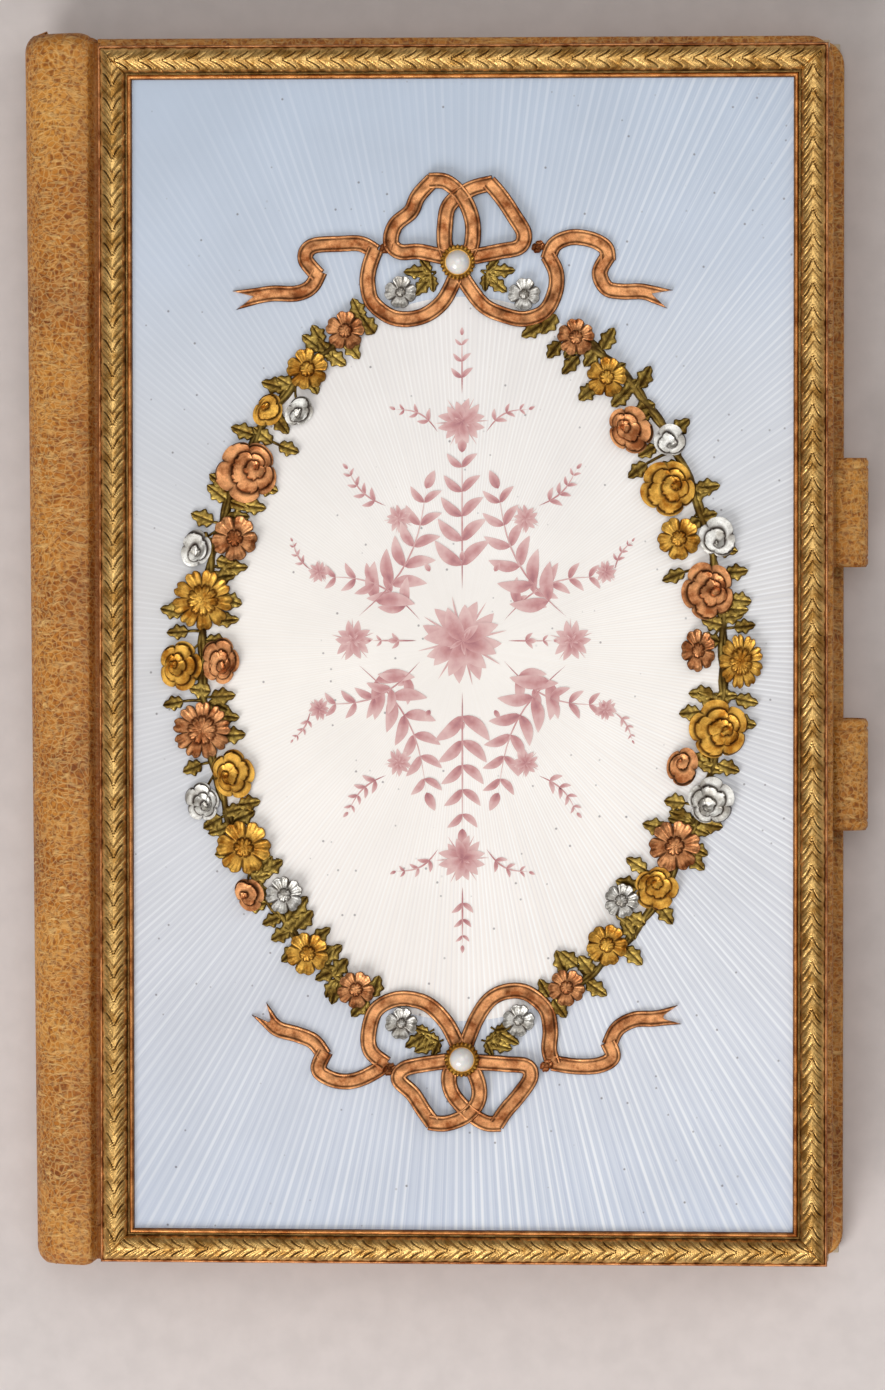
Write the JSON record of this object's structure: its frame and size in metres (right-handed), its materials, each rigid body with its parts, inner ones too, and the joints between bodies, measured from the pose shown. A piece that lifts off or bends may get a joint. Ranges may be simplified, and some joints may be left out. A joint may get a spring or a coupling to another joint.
{
  "type": "aide memoire case",
  "caption": "Small leather note case with a stiff round spine, pencil loops, a paper pad, and a gold-framed enamel plaque with a flower garland and ribbon bows.",
  "frame": {"origin": "centre of the case's footprint, on the back cover's outer face", "axes": "+X from the spine to the fore edge, +Y towards the head of the cover, +Z out of the front cover"},
  "size_m": [0.0722, 0.1058, 0.0112],
  "materials": {
    "tan_leather": "pebbled goat grain, waxed",
    "board": "pressed bookbinder's board",
    "watered_silk": "watered silk",
    "paper": "laid writing paper with gilt edges",
    "cloth_tape": "woven binding tape",
    "chased_gold": "chased, matted ground, polished ridges",
    "rose_gold": "polished",
    "yellow_gold": "chased and burnished",
    "white_gold": "chased, satin",
    "green_gold": "chased, satin",
    "blue_enamel": "translucent enamel over engine turning",
    "white_enamel": "opalescent enamel over engine turning",
    "pearl": "lustrous half pearl"
  },
  "bodies": {
    "back_cover": {"back_board": "board", "back_leather": "tan_leather", "back_lining": "watered_silk", "back_pocket": "watered_silk", "pencil_loop_lower": "tan_leather", "pad_card": "board", "pad_leaves": "paper", "pad_tape": "cloth_tape"},
    "spine": {"spine_leather": "tan_leather", "spine_liner": "board"},
    "front_cover": {"front_board": "board", "front_leather": "tan_leather", "front_lining": "watered_silk", "front_pocket": "watered_silk", "pencil_loop_upper": "tan_leather", "plaque_backplate": "rose_gold", "plaque_posts": "rose_gold", "plaque_washers": "rose_gold", "rail_top": "chased_gold", "rail_left": "chased_gold", "rail_bottom": "chased_gold", "rail_right": "chased_gold", "outer_fillet": "rose_gold", "inner_fillet": "rose_gold", "blue_enamel": "blue_enamel", "white_enamel": "white_enamel", "garland_stem_left": "green_gold", "garland_rose_flowers_left": "rose_gold", "garland_yellow_flowers_left": "yellow_gold", "garland_white_flowers_left": "white_gold", "garland_stem_right": "green_gold", "garland_rose_flowers_right": "rose_gold", "garland_yellow_flowers_right": "yellow_gold", "garland_white_flowers_right": "white_gold", "bow_top_streamers": "rose_gold", "bow_top_loops": "rose_gold", "bow_top_blossoms": "white_gold", "bow_top_sprigs": "green_gold", "pearl_cup_top": "yellow_gold", "pearl_top": "pearl", "bow_tail_streamers": "rose_gold", "bow_tail_loops": "rose_gold", "bow_tail_blossoms": "white_gold", "bow_tail_sprigs": "green_gold", "pearl_cup_tail": "yellow_gold", "pearl_tail": "pearl"},
    "leaf_1": {"note_leaf_1": "paper"},
    "leaf_2": {"note_leaf_2": "paper"},
    "leaf_3": {"note_leaf_3": "paper"}
  },
  "joints": [
    {"name": "spine_hinge", "type": "hinge", "parent": "back_cover", "child": "spine", "pos_m": [-0.02973, 0, 0], "axis": [0, -1, 0], "range_deg": [0, 90]},
    {"name": "front_hinge", "type": "hinge", "parent": "spine", "child": "front_cover", "pos_m": [-0.02973, 0, 0.0087], "axis": [0, -1, 0], "range_deg": [0, 90]},
    {"name": "leaf_1_turn", "type": "hinge", "parent": "back_cover", "child": "leaf_1", "pos_m": [-0.02852, 0, 0.00592], "axis": [0, -1, 0], "range_deg": [0, 100]},
    {"name": "leaf_2_turn", "type": "hinge", "parent": "back_cover", "child": "leaf_2", "pos_m": [-0.02852, 0, 0.00592], "axis": [0, -1, 0], "range_deg": [0, 130]},
    {"name": "leaf_3_turn", "type": "hinge", "parent": "back_cover", "child": "leaf_3", "pos_m": [-0.02852, 0, 0.00592], "axis": [0, -1, 0], "range_deg": [0, 155]}
  ],
  "couplings": [
    {"joint": "spine_hinge", "follows": "front_hinge", "ratio": 1},
    {"joint": "leaf_1_turn", "follows": "front_hinge", "ratio": 1.111},
    {"joint": "leaf_2_turn", "follows": "front_hinge", "ratio": 1.4443},
    {"joint": "leaf_3_turn", "follows": "front_hinge", "ratio": 1.7221}
  ]
}
